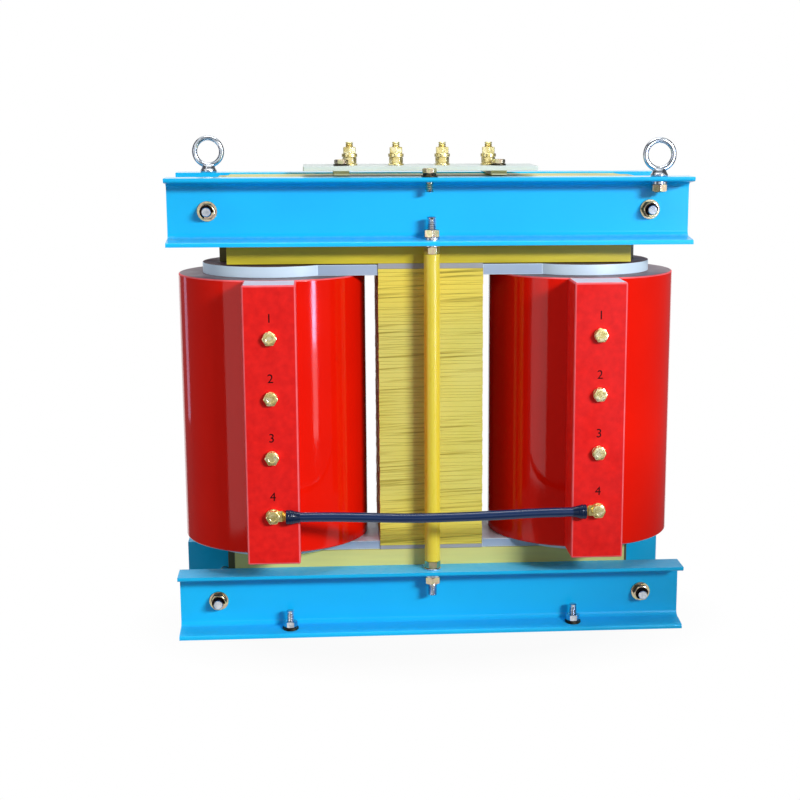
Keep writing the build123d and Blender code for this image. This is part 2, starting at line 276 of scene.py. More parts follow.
bpy.ops.object.select_all(action="DESELECT")
bpy.ops.mesh.primitive_plane_add(size=1, location=flag_place, rotation=(pi / 2, 0, flag_turn))
flag = bpy.context.object
flag.scale = (*flag_size, 1)
flag.name = "light_flag"
flag.data.materials.append(screen_cloth)
flag.visible_camera = flag.visible_diffuse = flag.visible_glossy = False
print("flag of", flag_size, "m keeps the main light off the foot on the right")

# %% [markdown]
# ## Finishes
# Every finish is one Principled shader fed by a few procedural patterns. The patterns read Object
# coordinates, which are plain metres here because each piece keeps its place in its mesh, so a pattern's
# scale comes straight from the size of the real thing in millimetres. Colours are written as sRGB hex
# codes, the way a colour picker shows them. Some inputs go by number: in Map Range 1 and 2 are the range
# that comes in, 3 and 4 the range that goes out, and in Mix 6 and 7 are the two colours.

# %% A start and an end for every finish
COLOURS = {"data_type": "RGBA"}


def new_finish(name):
    """An empty material: the material, its nodes, and the place on the object in metres."""
    material = bpy.data.materials.new(name)
    material.use_nodes = True
    tree = material.node_tree
    tree.nodes.clear()
    return material, tree, node(tree, "TexCoord").outputs["Object"]


def close_finish(tree, colour, gloss, skin, constants):
    """The shader that three patterns feed, with the inputs that are the same all over."""
    patterns = {"Base Color": colour.outputs[2], "Roughness": gloss.outputs[0], "Normal": skin.outputs[0]}
    shader = node(tree, "BsdfPrincipled", {**patterns, **constants})
    node(tree, "OutputMaterial", {0: shader.outputs[0]})


def per_metre(size_mm):
    """The texture scale at which a pattern's cells are that many millimetres wide."""
    return 1000.0 / size_mm


# %% [markdown]
# ### Blue enamel
# The channels are hot-rolled steel, sprayed with a glossy enamel. The eye sees a flat bright blue, a fine
# orange peel in the reflections, slow changes of tone where the coat is thinner, and a film of dust on
# everything that faces up, less of it near the floor. The orange peel is about 4 mm across, so it goes
# into the bump and not into the mesh.

# %% Sprayed enamel
def sprayed_enamel():
    material, tree, place = new_finish("sprayed_blue_enamel")
    thin_below, thick_above = 0.04, 0.09
    dull_below, glossy_above = 0.2, 0.4
    layer = node(tree, "TexNoise", {"Vector": place, "Scale": per_metre(140), "Detail": 3.0})
    tone = node(tree, "Mix", {0: layer.outputs[0], 6: paint("08B6F6"), 7: paint("10C6FF")}, **COLOURS)
    facing = node(tree, "SeparateXYZ", {0: node(tree, "NewGeometry").outputs["Normal"]})
    grit = node(tree, "TexNoise", {"Vector": place, "Scale": per_metre(11), "Detail": 7.0})
    level = node(tree, "SeparateXYZ", {0: place})
    film = node(tree, "MapRange", {0: level.outputs[2], 1: thin_below, 2: thick_above, 3: 0.10, 4: 0.45})
    upward_share = node(tree, "MapRange", {0: facing.outputs[2], 1: 0.55, 2: 1.0, 4: film.outputs[0]})
    dust = node(tree, "Math", {0: upward_share.outputs[0], 1: grit.outputs[0]}, operation="MULTIPLY")
    colour = node(tree, "Mix", {0: dust.outputs[0], 6: tone.outputs[2], 7: paint("A0D8FC")}, **COLOURS)
    tops = {0: level.outputs[2], 1: dull_below, 2: glossy_above, 3: 0.50, 4: 0.14}
    settled_gloss = node(tree, "MapRange", tops)
    gloss = node(tree, "MapRange", {0: facing.outputs[2], 1: 0.55, 3: 0.28, 4: settled_gloss.outputs[0]})
    peel = node(tree, "TexNoise", {"Vector": place, "Scale": per_metre(4), "Detail": 2.0})
    skin = node(tree, "Bump", {"Height": peel.outputs[0], "Distance": 0.05 * MM, "Strength": 0.5})
    close_finish(tree, colour, gloss, skin, {"IOR": 1.5, "Specular IOR Level": 0.25})
    return material


blue_enamel = sprayed_enamel()
print("made", blue_enamel.name)

# %% [markdown]
# ### Cast resin
# The coils are cast in a mould from epoxy with a red pigment, so their skin is as glossy as the mould was
# polished, with slow waves where the resin shrank. The tap pillars were rubbed down before their bolts
# went in: the same red, but matt and a little chalky, with a paler red on their rounded edges and on the
# upper rim that is a painted highlight. The end faces are machined, pale grey on the pillar; on the coil
# they are brown and grey as painted shade, and the tops of the upper end blocks get a like painted shade.
# One function makes all six from their colours and gloss.

# %% Cast epoxy
def cast_epoxy(name, deep, pale, cloud_mm, rough, wave_mm, wave_height, specular):
    material, tree, place = new_finish(name)
    cloud = node(tree, "TexNoise", {"Vector": place, "Scale": per_metre(cloud_mm), "Detail": 4.0})
    colour = node(tree, "Mix", {0: cloud.outputs[0], 6: paint(deep), 7: paint(pale)}, **COLOURS)
    smear = node(tree, "TexNoise", {"Vector": place, "Scale": per_metre(35), "Detail": 6.0})
    gloss = node(tree, "MapRange", {0: smear.outputs[0], 1: 0.3, 2: 0.7, 3: rough * 0.75, 4: rough * 1.25})
    stretch = (per_metre(wave_mm), per_metre(wave_mm), per_metre(4 * wave_mm))
    upright = node(tree, "Mapping", {"Vector": place, "Scale": stretch})
    wave = node(tree, "TexNoise", {"Vector": upright.outputs[0], "Scale": 1.0, "Detail": 4.0})
    skin = node(tree, "Bump", {"Height": wave.outputs[0], "Distance": wave_height * MM, "Strength": 0.6})
    close_finish(tree, colour, gloss, skin, {"IOR": 1.5, "Specular IOR Level": specular})
    return material


red_resin = cast_epoxy("cast_red_epoxy", "DA1203", "E81804", 90, 0.09, 55, 0.30, 0.25)
rubbed_resin = cast_epoxy("rubbed_red_epoxy", "CE1012", "FA241E", 11, 0.46, 2.2, 0.10, 0.10)
# Painted shade: the coil's flat ends are brown and grey, darker than the pale ends of the pillar.
end_shade_resin = cast_epoxy("machined_epoxy_painted_shade", "766064", "92828A", 40, 0.40, 3.0, 0.10, 0.05)
pillar_end_resin = cast_epoxy("machined_pillar_end", "D0CCDE", "E2DEEC", 40, 0.45, 3.0, 0.10, 0.4)
# Painted shade: the brown on the tops of the upper end blocks, under the yoke.
block_top_shade = cast_epoxy("block_top_painted_shade", "5E4446", "7C6264", 40, 0.50, 5.0, 0.10, 0.05)
# Painted highlight: the paler red of the pillar's edges and the upper rim.
edge_highlight_resin = cast_epoxy("painted_highlight_red_edge", "E84850", "F8787E", 20, 0.55, 2.2, 0.10, 0.1)
print("made six finishes, from", red_resin.name, "to", edge_highlight_resin.name)

# %% [markdown]
# ### Painted core
# The core is a pile of thin electrical-steel sheets, brushed over with yellow paint that soaks into the
# joints. On the yokes the sheets stand upright, parallel to the front, so their edges draw lines along
# the top and the ends: a wave along Y gives them, and it leaves the front plain by itself. A paler tone
# low down, on the upward faces and along the upper edge is painted light, for the light and reflections
# there. The end faces are unpainted and dark, and the fronts of the longer middle packets past the outer
# ones are dark too. In the centre limb the sheets lie flat. The paint has run into some of the joints
# more than into others, and was left off the sides. It is more golden near both ends, and near the
# bottom that gold is also painted light that lifts the shade. Real sheets are 0.35 mm thick. The lines
# are about 3 mm apart, or they would not show.

# %% Yoke paint
def yoke_paint():
    material, tree, place = new_finish("core_paint_on_upright_sheets")
    line_spacing = 3.0 * MM
    sheet_end = 307 * MM
    pale_below, plain_above = 0.13, 0.30
    plain_below, pale_above = 0.700, 0.704
    strokes = (per_metre(150), per_metre(40), per_metre(14))
    brush = node(tree, "Mapping", {"Vector": place, "Scale": strokes})
    stroke = node(tree, "TexNoise", {"Vector": brush.outputs[0], "Scale": 1.0, "Detail": 5.0})
    tone = node(tree, "Mix", {0: stroke.outputs[0], 6: paint("A4960E"), 7: paint("EEDC3A")}, **COLOURS)
    facing = node(tree, "SeparateXYZ", {0: node(tree, "NewGeometry").outputs["Normal"]})
    spot = node(tree, "SeparateXYZ", {0: place})
    # Painted light: a paler tone low down, on upward faces and at the upper edge stands in for light and
    # reflections there.
    low = node(tree, "MapRange", {0: spot.outputs[2], 1: pale_below, 2: plain_above, 3: 0.45, 4: 0.0})
    high = node(tree, "MapRange", {0: spot.outputs[2], 1: plain_below, 2: pale_above, 4: 0.40})
    upward = node(tree, "MapRange", {0: facing.outputs[2], 1: 0.5, 2: 0.9, 4: 0.65})
    ends = node(tree, "Math", {0: low.outputs[0], 1: high.outputs[0]}, operation="MAXIMUM")
    upward_share = node(tree, "Math", {0: upward.outputs[0], 1: 0.5}, operation="MULTIPLY")
    painted_light_share = node(tree, "Math", {0: ends.outputs[0], 1: upward_share.outputs[0]}, operation="MAXIMUM")
    painted_light_tone = node(tree, "Mix", {0: painted_light_share.outputs[0], 6: tone.outputs[2], 7: paint("DCE6B4")}, **COLOURS)
    bands = {"Vector": place, "Scale": 2 * pi / 20 / line_spacing, "Distortion": 1.5, "Detail Scale": 3.0}
    edges = node(tree, "TexWave", bands, bands_direction="Y")
    joint = node(tree, "MapRange", {0: edges.outputs[1], 1: 0.0, 2: 0.35, 3: 0.75, 4: 0.0})
    turned_away = node(tree, "Math", {0: facing.outputs[1]}, operation="ABSOLUTE")
    edge_on = node(tree, "MapRange", {0: turned_away.outputs[0], 1: 0.2, 2: 0.8, 3: 1.0, 4: 0.0})
    shown = node(tree, "Math", {0: edge_on.outputs[0], 1: upward.outputs[0]}, operation="SUBTRACT")
    dark = node(tree, "Math", {0: joint.outputs[0], 1: shown.outputs[0]}, operation="MULTIPLY")
    endwise = node(tree, "Math", {0: facing.outputs[0]}, operation="ABSOLUTE")
    end_face = node(tree, "MapRange", {0: endwise.outputs[0], 1: 0.6, 2: 0.9, 4: 0.85})
    # The fronts of the longer middle packets, past the outer ones, are darkened like the end faces.
    outward = node(tree, "Math", {0: spot.outputs[0]}, operation="ABSOLUTE")
    beyond = {0: outward.outputs[0], 1: sheet_end - MM, 2: sheet_end + MM, 4: 0.85}
    long_sheets = node(tree, "MapRange", beyond)
    upright = node(tree, "Math", {0: long_sheets.outputs[0], 1: upward.outputs[0]}, operation="SUBTRACT")
    dark_ends = node(tree, "Math", {0: end_face.outputs[0], 1: upright.outputs[0]}, operation="MAXIMUM")
    painted = node(tree, "Mix", {0: dark_ends.outputs[0], 6: painted_light_tone.outputs[2], 7: paint("2A2220")}, **COLOURS)
    colour = node(tree, "Mix", {0: dark.outputs[0], 6: painted.outputs[2], 7: paint("2E2712")}, **COLOURS)
    gloss = node(tree, "MapRange", {0: upward.outputs[0], 2: 0.65, 3: 0.42, 4: 0.32})
    groove = node(tree, "Bump", {"Height": edges.outputs[1], "Distance": 0.1 * MM, "Strength": 0.5})
    close_finish(tree, colour, gloss, groove, {"Specular IOR Level": 0.3})
    return material


core_paint = yoke_paint()
print("made", core_paint.name)

# %% Limb paint
def limb_paint():
    material, tree, place = new_finish("core_paint_on_flat_sheets")
    limb_middle = 0.345
    golden_from, golden_to = 0.125, 0.195
    flat = (210 * MM, 210 * MM, 3.6 * MM)
    tilt = (0, radians(-3.5), 0)
    stroke = node(tree, "Mapping", {"Vector": place, "Scale": flat, "Rotation": tilt}, vector_type="TEXTURE")
    streaks = {"Vector": stroke.outputs[0], "Scale": 1.0, "Detail": 6.0, "Distortion": 0.3}
    run = node(tree, "TexNoise", streaks)
    joint = node(tree, "MapRange", {0: run.outputs[0], 1: 0.54, 2: 0.68, 4: 0.75})
    cloud = node(tree, "TexNoise", {"Vector": place, "Scale": per_metre(70), "Detail": 3.0})
    tone = node(tree, "Mix", {0: cloud.outputs[0], 6: paint("D0CA50"), 7: paint("E0DC7C")}, **COLOURS)
    level = node(tree, "SeparateXYZ", {0: place})
    from_middle = node(tree, "Math", {0: level.outputs[2], 1: limb_middle}, operation="SUBTRACT")
    reach = node(tree, "Math", {0: from_middle.outputs[0]}, operation="ABSOLUTE")
    # More golden towards both ends; at the bottom this is also painted light that lifts the shade.
    toward_ends = node(tree, "MapRange", {0: reach.outputs[0], 1: golden_from, 2: golden_to, 4: 0.85})
    golden_ends = node(tree, "Mix", {0: toward_ends.outputs[0], 6: tone.outputs[2], 7: paint("F0DC54")}, **COLOURS)
    painted = node(tree, "Mix", {0: joint.outputs[0], 6: golden_ends.outputs[2], 7: paint("948418")}, **COLOURS)
    facing = node(tree, "SeparateXYZ", {0: node(tree, "NewGeometry").outputs["Normal"]})
    sideways = node(tree, "Math", {0: facing.outputs[0]}, operation="ABSOLUTE")
    side = node(tree, "MapRange", {0: sideways.outputs[0], 1: 0.6, 2: 0.9})
    colour = node(tree, "Mix", {0: side.outputs[0], 6: painted.outputs[2], 7: paint("9A4A20")}, **COLOURS)
    gloss = node(tree, "MapRange", {0: side.outputs[0], 3: 0.40, 4: 0.90})
    ripple = node(tree, "Bump", {"Height": run.outputs[0], "Distance": 0.5 * MM, "Strength": 0.5})
    close_finish(tree, colour, gloss, ripple, {"Specular IOR Level": 0.3})
    return material


flat_sheet_paint = limb_paint()
print("made", flat_sheet_paint.name)

# %% [markdown]
# ### Insulation
# The end blocks are moulded glass polyester, a cool white with faint flow marks; a greyer copy of it is
# painted shade on the tongues. The terminal board is sheet epoxy glass, greenish white with its weave just
# visible, and its straps are painted pale, as painted light for the bright gap under the board. The
# sleeves are yellow varnished tube, the pads in the core's joints grey pressboard, the inner windings
# brown varnish, and the wound limbs dark varnished sheets. They differ in colour, gloss and the size of
# their grain, so one function serves them all.

# %% Insulating materials
def insulation(name, deep, pale, grain_mm, grain_height, rough, stretch=(1, 1, 1)):
    material, tree, place = new_finish(name)
    cloud = node(tree, "TexNoise", {"Vector": place, "Scale": per_metre(60), "Detail": 5.0})
    colour = node(tree, "Mix", {0: cloud.outputs[0], 6: paint(deep), 7: paint(pale)}, **COLOURS)
    scale = [per_metre(grain_mm) / s for s in stretch]
    along = node(tree, "Mapping", {"Vector": place, "Scale": scale})
    grain = node(tree, "TexNoise", {"Vector": along.outputs[0], "Scale": 1.0, "Detail": 3.0})
    gloss = node(tree, "MapRange", {0: grain.outputs[0], 1: 0.3, 2: 0.7, 3: rough * 0.8, 4: rough * 1.2})
    skin = node(tree, "Bump", {"Height": grain.outputs[0], "Distance": grain_height * MM, "Strength": 0.5})
    close_finish(tree, colour, gloss, skin, {"IOR": 1.5})
    return material


moulded_white = insulation("moulded_glass_polyester", "C8DEF2", "DAEEFC", 5.0, 0.10, 0.40)
# Painted shade: a greyer white for the fronts and backs of the tongues.
painted_shade_white = insulation("glass_polyester_painted_shade", "98ACC8", "AABED8", 5.0, 0.10, 0.50)
glass_board = insulation("epoxy_glass_board", "C4D0CE", "D4DEDC", 1.6, 0.06, 0.42, (6, 1, 1))
yellow_tube = insulation("varnished_yellow_tube", "DCC82C", "ECDC4A", 3.0, 0.05, 0.30, (1, 1, 8))
grey_board = insulation("grey_pressboard", "8F9299", "A9ACB4", 1.5, 0.08, 0.60)
brown_varnish = insulation("varnished_winding", "4A2A16", "6A3F22", 3.0, 0.20, 0.30, (1, 1, 0.4))
# Painted light: the straps are pale, as bright as the lit gap under the board.
strap_painted_light = insulation("strap_paint_painted_light", "D6DCC8", "E4E8D6", 3.0, 0.10, 0.50)
dark_sheets = insulation("varnished_core_sheets", "2B211B", "43342A", 2.0, 0.20, 0.45, (8, 1, 8))
print("made eight insulating finishes")

# %% [markdown]
# ### Metals
# The tap bolts, lugs and terminal studs are turned brass. Most nuts and heads are zinc plated and
# passivated yellow, which drifts from gold to pink and green. The rods, the eyes and the foot bolts are
# bright zinc, and some washers are blackened. The flanks and countersinks of the clamp nuts and the
# threads of their rods get a near-black metal, as painted shade. A metal's colour sits in its reflection,
# so each one is fully metallic, keeps the default IOR, and differs in hue, in the size of its blotches and
# in how sharply it reflects.

# %% Metals
def metal(name, tints, blotch_mm, rough):
    material, tree, place = new_finish(name)
    blotch = node(tree, "TexNoise", {"Vector": place, "Scale": per_metre(blotch_mm), "Detail": 4.0})
    first, second, third = (paint(tint) for tint in tints)
    low = node(tree, "MapRange", {0: blotch.outputs[0], 1: 0.35, 2: 0.52})
    high = node(tree, "MapRange", {0: blotch.outputs[0], 1: 0.50, 2: 0.68})
    blend = node(tree, "Mix", {0: low.outputs[0], 6: first, 7: second}, **COLOURS)
    colour = node(tree, "Mix", {0: high.outputs[0], 6: blend.outputs[2], 7: third}, **COLOURS)
    scuff = node(tree, "TexNoise", {"Vector": place, "Scale": per_metre(1.2), "Detail": 3.0})
    gloss = node(tree, "MapRange", {0: scuff.outputs[0], 1: 0.3, 2: 0.7, 3: rough * 0.7, 4: rough * 1.3})
    skin = node(tree, "Bump", {"Height": scuff.outputs[0], "Distance": 0.02 * MM, "Strength": 0.5})
    close_finish(tree, colour, gloss, skin, {"Metallic": 1.0})
    return material


brass = metal("turned_brass", ("D4C078", "E6D694", "F4ECC4"), 9, 0.30)
yellow_zinc = metal("yellow_passivated_zinc", ("C0AA98", "D2C6A2", "B6B88C"), 7, 0.20)
bright_zinc = metal("bright_zinc_plate", ("A4ACB6", "C2C9D1", "D8DCE1"), 10, 0.20)
black_oxide = metal("blackened_steel", ("1F1D1A", "3A352C", "5B5238"), 6, 0.42)
# Painted shade: a near-black metal for nut flanks, countersinks and threads.
painted_shade_metal = metal("painted_shade_on_steel", ("120F10", "221C1C", "3A302A"), 6, 0.50)
print("made five metals")

# %% [markdown]
# ### Cable and markings
# The jumper has a glossy sheath, black with a blue cast, extruded with a faint lengthwise draw. Its ends
# are covered by heat-shrink tube, which is as glossy but wrinkled. The tap numbers are stamped in matt
# black ink. All three are nearly black, so what tells them apart is the gloss and the grain.

# %% Black sheath, shrink tube and ink
def black_polymer(name, deep, pale, grain_mm, grain_height, rough, specular):
    material, tree, place = new_finish(name)
    drawn = (per_metre(12 * grain_mm), per_metre(grain_mm), per_metre(grain_mm))
    along = node(tree, "Mapping", {"Vector": place, "Scale": drawn})
    grain = node(tree, "TexNoise", {"Vector": along.outputs[0], "Scale": 1.0, "Detail": 3.0})
    colour = node(tree, "Mix", {0: grain.outputs[0], 6: paint(deep), 7: paint(pale)}, **COLOURS)
    gloss = node(tree, "MapRange", {0: grain.outputs[0], 1: 0.3, 2: 0.7, 3: rough * 0.8, 4: rough * 1.25})
    skin = node(tree, "Bump", {"Height": grain.outputs[0], "Distance": grain_height * MM, "Strength": 0.5})
    close_finish(tree, colour, gloss, skin, {"Specular IOR Level": specular})
    return material


cable_sheath = black_polymer("extruded_black_sheath", "0A2248", "12305E", 2.5, 0.05, 0.20, 0.4)
shrink_tube = black_polymer("heat_shrink_tube", "081630", "122848", 4.0, 0.40, 0.16, 0.25)
stamp_ink = black_polymer("stamped_ink", "120608", "1C0A0E", 1.5, 0.02, 0.60, 0.05)
print("made the black finishes")

# %% [markdown]
# ## Modelling helpers
# The pieces are modelled the way one works by hand: add a primitive at its size, go into edit mode, select
# some faces or edges, and apply an operator. Operators act on whatever is selected, so these helpers start
# from nothing selected, and pick what is needed by a test on its place or its normal.

# %% Selecting and editing
from contextlib import contextmanager

CLOSE = 0.01 * MM


def near(a, b):
    return abs(a - b) < CLOSE


def middle(item):
    """The middle of an edge or a face."""
    return sum((v.co for v in item.verts), Vector()) / len(item.verts)


def select_only(piece):
    bpy.ops.object.select_all(action="DESELECT")
    piece.select_set(True)
    bpy.context.view_layer.objects.active = piece


@contextmanager
def editing(piece):
    """Edit mode on one piece, for as long as the with block lasts."""
    select_only(piece)
    bpy.ops.object.mode_set(mode="EDIT")
    bpy.ops.mesh.select_mode(type="VERT")
    yield piece
    bpy.ops.object.mode_set(mode="OBJECT")


def pick(piece, kind, test):
    """Select the vertices, edges or faces that pass a test."""
    bpy.ops.mesh.select_mode(type=kind)
    bpy.ops.mesh.select_all(action="DESELECT")
    mesh = bmesh.from_edit_mesh(piece.data)
    for item in {"VERT": mesh.verts, "EDGE": mesh.edges, "FACE": mesh.faces}[kind]:
        if test(item):
            item.select_set(True)
    mesh.select_flush_mode()
    bmesh.update_edit_mesh(piece.data)


# %% Primitives with their place in the mesh
def settle():
    """Put the place, turn and size of the new object into its mesh."""
    bpy.ops.object.transform_apply(location=True, rotation=True, scale=True)
    return bpy.context.object


def block(low, high):
    """A cube stretched between two corners."""
    bpy.ops.object.select_all(action="DESELECT")
    low, high = Vector(low), Vector(high)
    bpy.ops.mesh.primitive_cube_add(size=1, location=(low + high) / 2, scale=high - low)
    return settle()


def round_bar(radius, low, high, x=0.0, y=0.0, sides=48):
    """An upright cylinder between two levels."""
    bpy.ops.object.select_all(action="DESELECT")
    bpy.ops.mesh.primitive_cylinder_add(
        vertices=sides, radius=radius, depth=high - low, location=(x, y, (low + high) / 2)
    )
    return settle()


def turned(profile, steps=48):
    """A turned piece: a profile of (radius, height) points, spun round the Z axis."""
    bpy.ops.object.select_all(action="DESELECT")
    bpy.ops.mesh.primitive_plane_add(size=1, location=(0, 0, 0))
    piece = bpy.context.object
    with editing(piece):
        bpy.ops.mesh.select_all(action="SELECT")
        bpy.ops.mesh.merge(type="CENTER")
        bpy.ops.transform.translate(value=(profile[0][0], 0, profile[0][1]))
        for (r0, z0), (r1, z1) in zip(profile, profile[1:]):
            bpy.ops.mesh.extrude_region_move(TRANSFORM_OT_translate={"value": (r1 - r0, 0, z1 - z0)})
        bpy.ops.mesh.select_all(action="SELECT")
        bpy.ops.mesh.spin(steps=steps, angle=2 * pi, center=(0, 0, 0), axis=(0, 0, 1))
        bpy.ops.mesh.select_all(action="SELECT")
        bpy.ops.mesh.remove_doubles(threshold=CLOSE)
        bpy.ops.mesh.normals_make_consistent(inside=False)
    return piece


# %% Modifiers, copies and the hand-over
def modify(piece, kind, **settings):
    """Add a modifier with its settings and apply it."""
    select_only(piece)
    modifier = piece.modifiers.new(kind.lower(), kind)
    for name, value in settings.items():
        setattr(modifier, name, value)
    bpy.ops.object.modifier_apply(modifier=modifier.name)


def combine(piece, tool, operation):
    """Join, cut or intersect a piece with a tool, which is used up."""
    modify(piece, "BOOLEAN", operation=operation, solver="EXACT", object=tool)
    bpy.data.objects.remove(tool)


def soften(piece, width, segments=2, angle=30):
    """Round every edge that is sharper than an angle."""
    modify(
        piece, "BEVEL", width=width, segments=segments, limit_method="ANGLE", angle_limit=radians(angle)
    )


def coat(piece, material):
    """Give the whole piece one finish."""
    piece.data.materials.clear()
    piece.data.materials.append(material)
    return piece


def touch_up(piece, slot, test):
    """In edit mode: give the faces that pass a test another of the piece's finishes."""
    pick(piece, "FACE", test)
    piece.active_material_index = slot
    bpy.ops.object.material_slot_assign()


def put(piece, place=(0, 0, 0), turn=(0, 0, 0)):
    """Turn a piece round the origin and move it."""
    select_only(piece)
    piece.location = place
    piece.rotation_euler = turn
    return settle()


def copy_to(piece, place=(0, 0, 0), turn=(0, 0, 0)):
    """A copy with a mesh of its own, turned and moved."""
    twin = piece.copy()
    twin.data = piece.data.copy()
    bpy.context.scene.collection.objects.link(twin)
    return put(twin, place, turn)


def join(pieces):
    """Several shells as one piece."""
    bpy.ops.object.select_all(action="DESELECT")
    for piece in pieces:
        piece.select_set(True)
    bpy.context.view_layer.objects.active = pieces[0]
    bpy.ops.object.join()
    return bpy.context.object


def hand_over(piece, name, slot, *nodes, angle=35):
    """Smooth the shading, name the piece, and let it stand for its CAD nodes."""
    select_only(piece)
    bpy.ops.object.shade_smooth_by_angle(angle=radians(angle))
    modify(piece, "WEIGHTED_NORMAL", keep_sharp=True)
    piece.name = name
    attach(piece, BODY)
    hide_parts(*nodes)
    print(name, "has", len(piece.data.polygons), "faces")


# %% [markdown]
# ## Frame of rolled channels
# Each channel has a web and two flanges that get thinner towards their toes, with a fillet in the root and
# a rounded toe. It could be drawn as an outline and extruded. Starting from the web as a bar and pulling
# the flanges out of it follows the rolling more closely, and leaves a clean mesh of long strips. The bar
# is modelled once. The copies are turned and moved to their places, and then drilled.

# %% The rolled bar
channel_web = 5.3 * MM
channel_flange = 48 * MM
flange_mean = 8.5 * MM
flange_taper = 0.1
root_radius = 8.5 * MM
toe_radius = 4.2 * MM


def flange_thickness(distance):
    """Thickness of a tapered flange at a distance from the back of the web."""
    half_way = channel_web + (channel_flange - channel_web) / 2
    return flange_mean + (half_way - distance) * flange_taper


rail_low, rail_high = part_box("top_front_channel")
root = flange_thickness(channel_web)
toe = flange_thickness(channel_flange)
web_front = rail_high.y - channel_web
inner_levels = {-1: rail_low.z + root, 1: rail_high.z - root}
toe_levels = (rail_low.z + toe, rail_high.z - toe)


def in_root(edge):
    """Does an edge run along the inner corner of web and flange?"""
    first, second = (v.co for v in edge.verts)
    return near(first.y, web_front) and near(second.y, web_front) and near(first.z, second.z)


def at_toe(edge):
    """Does an edge run along the inner side of a toe?"""
    ends = [v.co for v in edge.verts]
    return all(near(end.y, rail_low.y) and any(near(end.z, z) for z in toe_levels) for end in ends)


bar = block((rail_low.x, web_front, rail_low.z), rail_high)
with editing(bar):
    for level in inner_levels.values():
        bpy.ops.mesh.select_all(action="SELECT")
        bpy.ops.mesh.bisect(plane_co=(0, 0, level), plane_no=(0, 0, 1))
    inside = inner_levels.values()
    pick(bar, "FACE", lambda f: f.normal.y < -0.9 and not min(inside) < middle(f).z < max(inside))
    bpy.ops.mesh.extrude_region_move(TRANSFORM_OT_translate={"value": (0, rail_low.y - web_front, 0)})
    for way, level in inner_levels.items():
        pick(bar, "VERT", lambda v: near(v.co.y, rail_low.y) and near(v.co.z, level))
        bpy.ops.transform.translate(value=(0, 0, way * (root - toe)))
    pick(bar, "EDGE", in_root)
    bpy.ops.mesh.bevel(offset=0.9 * root_radius, segments=6, affect="EDGES")
    pick(bar, "EDGE", at_toe)
    bpy.ops.mesh.bevel(offset=0.8 * toe_radius, segments=4, affect="EDGES")
print("rolled bar of", len(bar.data.polygons), "faces")

# %% Four channels, drilled
core_y = box_middle("top_yoke", "y")
gauge = abs(core_y - box_middle("front_rod_sleeve", "y"))
gauge_line = 26 * MM
clamp_x = box_middle("upper_right_clamp_bolt", "x")
eye_x = box_middle("right_eye_bolt", "x")
earth_x = box_middle("earth_bolt", "x")
taper_radius = 12.5 * MM
foot_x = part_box("front_foot_bolts")[1].x - taper_radius
rail_height = rail_high.z - rail_low.z
clearance = 0.5 * MM
drill_past = 4 * MM
m12 = 6 * MM
m14 = 7 * MM

flange_drills = {
    "top_front": [(0, 0, m14), (eye_x, 1, m14), (earth_x, 1, m12)],
    "top_back": [(0, 0, m14), (-eye_x, 1, m14)],
    "bottom_front": [(0, 1, m14), (-foot_x, 0, m12), (foot_x, 0, m12)],
    "bottom_back": [(0, 1, m14), (-foot_x, 0, m12), (foot_x, 0, m12)],
}

for name, drills in flange_drills.items():
    face = name.split("_")[1]
    way = FACES[face]
    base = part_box(f"{name}_channel")[0].z
    turn = 0 if face == "front" else pi
    rail = copy_to(bar, (0, core_y * (1 - cos(turn)), base - rail_low.z), (0, 0, turn))
    for x, flange, radius in drills:
        seat = base + flange * rail_height
        ends = (seat - root - drill_past, seat + root + drill_past)
        drill = round_bar(radius + clearance, *ends, x, core_y + way * gauge)
        combine(rail, drill, "DIFFERENCE")
    for side in SIDES.values():
        drill = round_bar(m14 + clearance, -4 * channel_web, 4 * channel_web)
        web_y = core_y + way * (gauge - gauge_line)
        put(drill, (side * clamp_x, web_y, base + rail_height / 2), (pi / 2, 0, 0))
        combine(rail, drill, "DIFFERENCE")
    soften(rail, width=0.6 * MM)
    coat(rail, blue_enamel)
    hand_over(rail, f"{name}_rail", "blue_paint", f"{name}_channel")
bpy.data.objects.remove(bar)

# %% [markdown]
# ## The laminated core
# A core is a pile of sheets, bundled in packets that never end quite flush. One block with lines painted
# on it would look too clean from the side. Here each packet is its own block, a few tenths of a
# millimetre out of line with its neighbours, and one bevel over the joined pile draws the joints.

# %% Centre limb of flat packets
chance = Random(31)
packet_range = (4.0 * MM, 9.0 * MM)
packet_gap = 0.1 * MM
limb_shift = 0.35 * MM
limb_low, limb_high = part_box("centre_limb")

packets = []
level = limb_low.z
while level < limb_high.z - CLOSE:
    top = level + chance.uniform(*packet_range)
    if limb_high.z - top < packet_range[0]:
        top = limb_high.z
    shift = Vector((chance.uniform(-1, 1) * limb_shift, chance.uniform(0, 1) * limb_shift, 0))
    low = Vector((limb_low.x, limb_low.y, level)) + shift
    high = Vector((limb_high.x, limb_high.y - limb_shift, top - packet_gap)) + shift
    packets.append(block(low, high))
    level = top
limb = join(packets)
soften(limb, width=0.5 * MM)
coat(limb, flat_sheet_paint)
hand_over(limb, "flat_packets", "limb_paint", "centre_limb")
print("the centre limb is a pile of", len(packets), "packets")

# %% Yokes of upright packets
yoke_step = 13 * MM
step_half = 32 * MM
yoke_packets = 20
yoke_shift = 0.3 * MM

